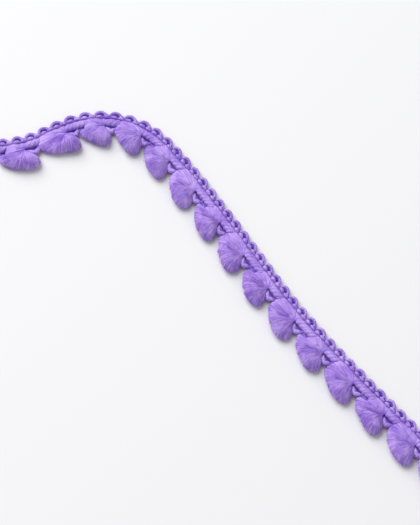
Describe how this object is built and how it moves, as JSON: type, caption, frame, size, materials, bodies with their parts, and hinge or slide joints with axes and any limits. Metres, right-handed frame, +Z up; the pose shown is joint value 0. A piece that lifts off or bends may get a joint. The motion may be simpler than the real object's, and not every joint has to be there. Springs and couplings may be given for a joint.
{
  "type": "pompom fringe trim",
  "caption": "Narrow crocheted trim with a scalloped stitched edge on one side and a row of small soft fan-shaped pompoms tied along the other, laid flat in a gentle S",
  "frame": {"origin": "under the middle of the trim's bounding box, on the plane that it lies on", "axes": "+Z up from the plane the trim lies on; +X along the longer side of the laid S, from its left end to its right end; +Y away from the viewer, towards the scalloped edge"},
  "size_m": [0.1586, 0.1269, 0.0044],
  "materials": {
    "thread": "matt plied crochet thread with a faint sheen",
    "ground": "matt soft bulky yarn",
    "pompom": "matt brushed fine fibre"
  },
  "bodies": {
    "root": {"edge_chain": "thread", "ground_band": "ground", "neck_chain": "thread", "pompom_01": "pompom", "pompom_02": "pompom", "pompom_03": "pompom", "pompom_04": "pompom", "pompom_05": "pompom", "pompom_06": "pompom", "pompom_07": "pompom", "pompom_08": "pompom", "pompom_09": "pompom", "pompom_10": "pompom", "pompom_11": "pompom", "pompom_12": "pompom", "pompom_13": "pompom", "pompom_14": "pompom", "pompom_15": "pompom", "pompom_16": "pompom", "pompom_17": "pompom", "pompom_18": "pompom"}
  },
  "joints": []
}
